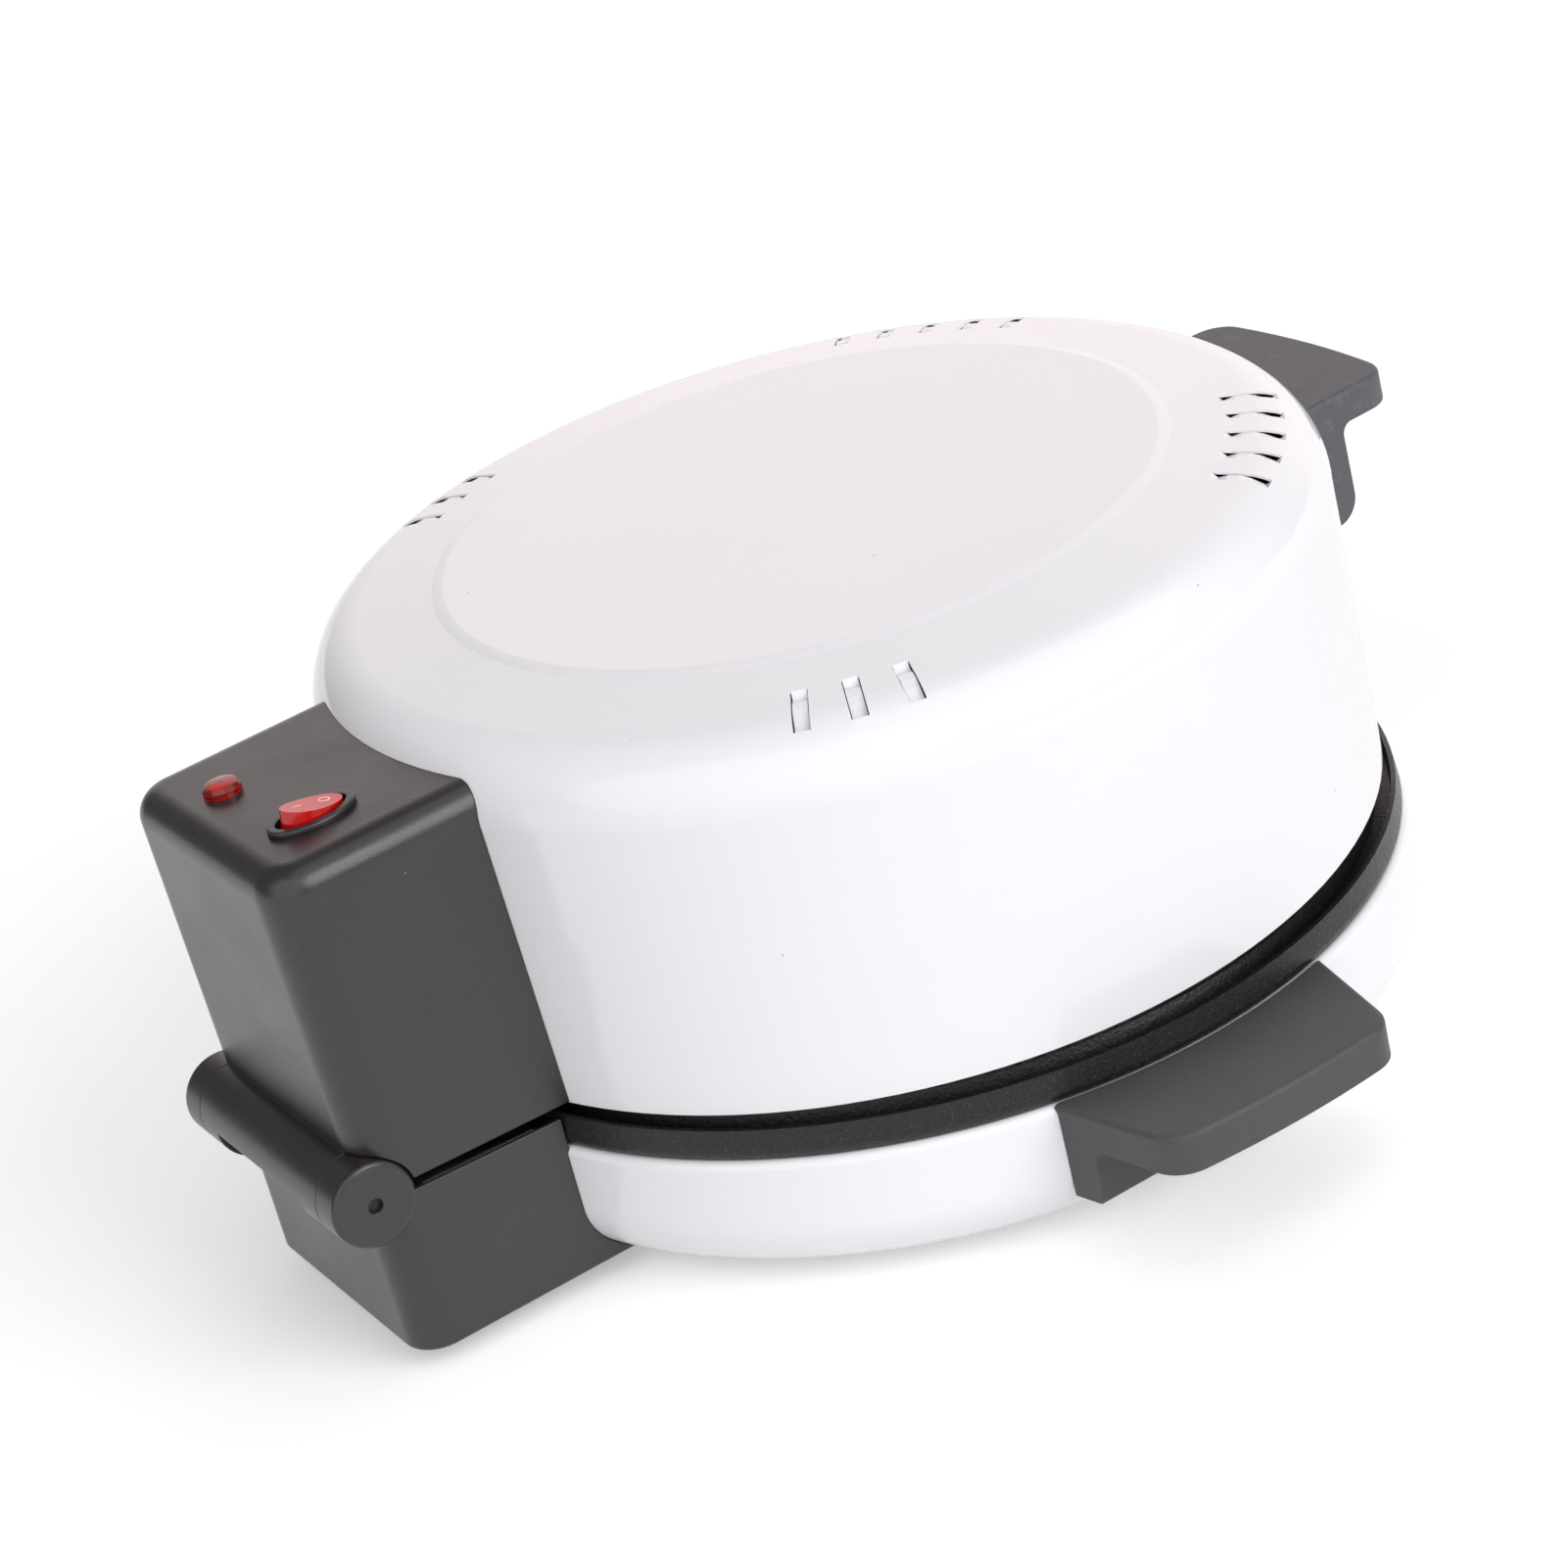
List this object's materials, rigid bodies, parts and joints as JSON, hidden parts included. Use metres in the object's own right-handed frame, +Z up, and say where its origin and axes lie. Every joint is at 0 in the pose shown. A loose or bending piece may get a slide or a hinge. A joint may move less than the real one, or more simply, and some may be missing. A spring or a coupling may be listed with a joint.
{
  "type": "electric pizza maker",
  "caption": "Round electric pizza maker: white enamelled lid and base, black pan, black rear hinge housings with a red rocker switch and lamp, black handles; the lid opens.",
  "frame": {"origin": "middle of the overall box, on the table", "axes": "+Z up; the lid hinges at the back (+Y), its handle is at the front (-Y), the side handles are at -X and +X"},
  "size_m": [0.42, 0.4437, 0.1936],
  "materials": {
    "white_enamel": "gloss",
    "black_plastic": "satin",
    "handle_plastic": "satin",
    "nonstick_coating": "speckled satin",
    "red_plastic": "translucent gloss",
    "bright_metal": "bright",
    "heater_steel": "oxidised",
    "plated_steel": "zinc plated",
    "dark_steel": "blackened",
    "tag_brass": "bright",
    "ceramic_white": "unglazed",
    "foot_rubber": "matt",
    "lamp_glass": "clear",
    "wire_sleeving": "glass braid"
  },
  "bodies": {
    "base": {"base_shell": "white_enamel", "baking_pan": "nonstick_coating", "pan_spacers": "plated_steel", "pan_screws": "plated_steel", "lower_reflector": "bright_metal", "lower_element": "heater_steel", "lower_element_terminals": "tag_brass", "lower_element_clamps": "plated_steel", "clamp_screws": "plated_steel", "thermostat": "black_plastic", "thermostat_cap": "bright_metal", "thermostat_bracket": "plated_steel", "bracket_screws": "plated_steel", "lower_hinge_housing": "black_plastic", "lower_housing_screws": "plated_steel", "hinge_pin": "dark_steel", "terminal_block": "ceramic_white", "terminal_block_screws": "tag_brass", "supply_wires": "wire_sleeving", "heater_wires": "wire_sleeving", "earth_wire": "wire_sleeving", "power_inlet": "black_plastic", "inlet_blades": "tag_brass", "side_handle_left": "handle_plastic", "side_handle_right": "handle_plastic", "side_handle_screws": "plated_steel", "foot_front_left": "foot_rubber", "foot_front_right": "foot_rubber", "foot_back_left": "foot_rubber", "foot_back_right": "foot_rubber"},
    "lid": {"lid_shell": "white_enamel", "lid_liner": "bright_metal", "upper_element": "heater_steel", "upper_element_terminals": "tag_brass", "upper_element_clips": "plated_steel", "clip_rivets": "plated_steel", "lid_handle": "handle_plastic", "lid_handle_screws": "plated_steel", "upper_hinge_housing": "black_plastic", "upper_housing_screws": "plated_steel", "indicator_lens": "red_plastic", "lamp_nut": "plated_steel", "lamp_bulb": "lamp_glass", "switch_body": "black_plastic", "switch_terminals": "tag_brass", "lid_wires": "wire_sleeving"},
    "rocker": {"switch_rocker": "red_plastic"}
  },
  "joints": [
    {"name": "lid_hinge", "type": "hinge", "parent": "base", "child": "lid", "pos_m": [0, 0.20786, 0.0638], "axis": [-1, 0, 0], "range_deg": [0, 100]},
    {"name": "switch_rock", "type": "hinge", "parent": "lid", "child": "rocker", "pos_m": [-0.0247, 0.18008, 0.1743], "axis": [-1, 0, 0], "range_deg": [0, 24]}
  ]
}
